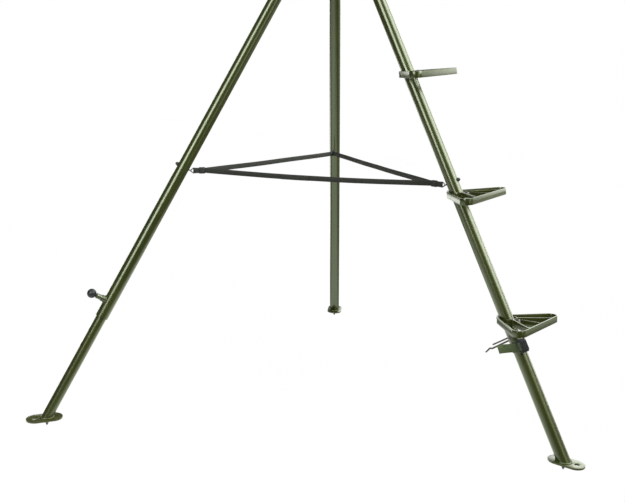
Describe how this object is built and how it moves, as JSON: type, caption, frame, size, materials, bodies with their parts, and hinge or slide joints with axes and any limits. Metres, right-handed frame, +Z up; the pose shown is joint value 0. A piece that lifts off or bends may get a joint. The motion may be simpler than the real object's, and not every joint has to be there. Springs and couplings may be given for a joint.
{
  "type": "tripod hunting stand",
  "caption": "Tall tripod stand of splayed tubes with a webbing spreader, bolted steps on one leg, a telescoping leg and a swivel seat on a hub.",
  "frame": {"origin": "middle of the footprint, on the ground under the spike tips", "axes": "+Z up, rear leg along +Y, step leg to the front right, telescoping leg to the front left"},
  "size_m": [1.6308, 1.4283, 2.1496],
  "materials": {
    "olive_powder": "gloss powder coat",
    "black_webbing": "woven",
    "olive_webbing": "woven",
    "black_plastic": "moulded satin",
    "black_steel": "black oxide",
    "spike_steel": "black",
    "bright_steel": "zinc plated",
    "nylon": "moulded",
    "plywood": "plain ply",
    "seat_fabric": "coated woven"
  },
  "bodies": {
    "hub": {"hub_tube": "olive_powder", "hub_ears": "olive_powder", "fold_stops": "olive_powder", "hub_top_plate": "olive_powder", "upper_bush": "nylon", "lower_bush": "nylon", "pivot_bolts": "bright_steel", "pivot_nuts": "bright_steel"},
    "seat": {"seat_spindle": "olive_powder", "spindle_bolt": "bright_steel", "seat_rails": "olive_powder", "rail_bridges": "olive_powder", "rear_bar": "olive_powder", "back_brackets": "olive_powder", "seat_board": "plywood", "seat_board_bolts": "bright_steel", "seat_cushion": "seat_fabric", "back_pivot_bolts": "bright_steel", "back_pivot_nuts": "bright_steel"},
    "backrest": {"back_frame": "olive_powder", "back_slats": "olive_powder", "back_cushion": "seat_fabric"},
    "step_leg": {"step_leg_upper": "olive_powder", "step_leg_lower": "olive_powder", "step_leg_spigot": "olive_powder", "cross_pin": "bright_steel", "step_lowest": "olive_powder", "step_second": "olive_powder", "step_third": "olive_powder", "step_top": "olive_powder", "step_bolts": "bright_steel", "step_nuts": "black_steel", "step_foot_plate": "olive_powder", "step_foot_spike": "spike_steel", "step_eye_bolt": "black_steel", "step_corner_tab": "black_webbing", "tie_strap": "olive_webbing", "tie_buckle": "black_plastic"},
    "hairpin": {"hairpin_clip": "bright_steel"},
    "rear_leg": {"rear_leg_tube": "olive_powder", "rear_foot_plate": "olive_powder", "rear_foot_spike": "spike_steel", "rear_eye_bolt": "black_steel", "rear_corner_tab": "black_webbing"},
    "adjuster_leg": {"adjuster_leg_upper": "olive_powder", "adjuster_eye_bolt": "black_steel", "adjuster_corner_tab": "black_webbing", "lock_barrel": "olive_powder", "lock_spring": "bright_steel"},
    "adjuster_foot": {"adjuster_leg_lower": "olive_powder", "adjuster_foot_plate": "olive_powder", "adjuster_foot_spike": "spike_steel"},
    "pull_pin": {"lock_pin": "bright_steel", "ball_knob": "black_plastic"},
    "web_step_to_rear": {"web_step_to_rear": "black_webbing"},
    "web_step_to_adjuster": {"web_step_to_adjuster": "black_webbing"},
    "web_rear_to_step": {"web_rear_to_step": "black_webbing"},
    "web_rear_to_adjuster": {"web_rear_to_adjuster": "black_webbing"},
    "web_adjuster_to_step": {"web_adjuster_to_step": "black_webbing"},
    "web_adjuster_to_rear": {"web_adjuster_to_rear": "black_webbing"}
  },
  "joints": [
    {"name": "step_leg_fold", "type": "hinge", "parent": "hub", "child": "step_leg", "pos_m": [0.05369, -0.25815, 1.53065], "axis": [0.5, 0.866, 0], "range_deg": [0, 22]},
    {"name": "rear_leg_fold", "type": "hinge", "parent": "hub", "child": "rear_leg", "pos_m": [0, -0.16515, 1.53065], "axis": [-1, 0, 0], "range_deg": [0, 22]},
    {"name": "adjuster_leg_fold", "type": "hinge", "parent": "hub", "child": "adjuster_leg", "pos_m": [-0.05369, -0.25815, 1.53065], "axis": [0.5, -0.866, 0], "range_deg": [0, 22]},
    {"name": "web_step_to_rear_hang", "type": "hinge", "parent": "step_leg", "child": "web_step_to_rear", "pos_m": [0.34977, -0.42909, 0.76257], "axis": [-0.8089, -0.5826, -0.0795], "range_deg": [0, 96.8], "deforming": ["web_step_to_rear"]},
    {"name": "web_step_to_adjuster_hang", "type": "hinge", "parent": "step_leg", "child": "web_step_to_adjuster", "pos_m": [0.34977, -0.42909, 0.76257], "axis": [-0.1001, -0.9918, 0.0795], "range_deg": [0, 96.8], "deforming": ["web_step_to_adjuster"]},
    {"name": "web_rear_to_step_hang", "type": "hinge", "parent": "rear_leg", "child": "web_rear_to_step", "pos_m": [0, 0.17673, 0.76257], "axis": [0.909, 0.4092, 0.0795], "range_deg": [0, 96.8], "deforming": ["web_rear_to_step"]},
    {"name": "web_rear_to_adjuster_hang", "type": "hinge", "parent": "rear_leg", "child": "web_rear_to_adjuster", "pos_m": [0, 0.17673, 0.76257], "axis": [0.909, -0.4092, -0.0795], "range_deg": [0, 96.8], "deforming": ["web_rear_to_adjuster"]},
    {"name": "web_adjuster_to_step_hang", "type": "hinge", "parent": "adjuster_leg", "child": "web_adjuster_to_step", "pos_m": [-0.34977, -0.42909, 0.76257], "axis": [-0.1001, 0.9918, -0.0795], "range_deg": [0, 96.8], "deforming": ["web_adjuster_to_step"]},
    {"name": "web_adjuster_to_rear_hang", "type": "hinge", "parent": "adjuster_leg", "child": "web_adjuster_to_rear", "pos_m": [-0.34977, -0.42909, 0.76257], "axis": [-0.8089, 0.5826, 0.0795], "range_deg": [0, 96.8], "deforming": ["web_adjuster_to_rear"]},
    {"name": "adjuster_leg_extend", "type": "slide", "parent": "adjuster_leg", "child": "adjuster_foot", "axis": [-0.4119, -0.2378, -0.8796], "range_m": [-0.15, 0.15]},
    {"name": "pull_pin_pull", "type": "slide", "parent": "adjuster_leg", "child": "pull_pin", "axis": [-0.7618, -0.4398, 0.4756], "range_m": [0, 0.008], "stiffness_N_per_m": 1200, "springref_m": -0.004, "deforming": ["lock_spring"]},
    {"name": "hairpin_pull", "type": "slide", "parent": "step_leg", "child": "hairpin", "axis": [0.7146, -0.4126, 0.565], "range_m": [0, 0.04]},
    {"name": "seat_swivel", "type": "hinge", "parent": "hub", "child": "seat", "pos_m": [0, -0.22715, 1.58665], "axis": [0, 0, 1], "continuous": true},
    {"name": "backrest_fold", "type": "hinge", "parent": "seat", "child": "backrest", "pos_m": [0, -0.05515, 1.74725], "axis": [1, 0, 0], "range_deg": [0, 90]}
  ],
  "couplings": [
    {"joint": "rear_leg_fold", "follows": "step_leg_fold", "ratio": 1},
    {"joint": "adjuster_leg_fold", "follows": "step_leg_fold", "ratio": 1},
    {"joint": "web_step_to_rear_hang", "follows": "step_leg_fold", "ratio": 4.3873},
    {"joint": "web_step_to_adjuster_hang", "follows": "step_leg_fold", "ratio": 4.3873},
    {"joint": "web_rear_to_step_hang", "follows": "step_leg_fold", "ratio": 4.3873},
    {"joint": "web_rear_to_adjuster_hang", "follows": "step_leg_fold", "ratio": 4.3873},
    {"joint": "web_adjuster_to_step_hang", "follows": "step_leg_fold", "ratio": 4.3873},
    {"joint": "web_adjuster_to_rear_hang", "follows": "step_leg_fold", "ratio": 4.3873}
  ]
}
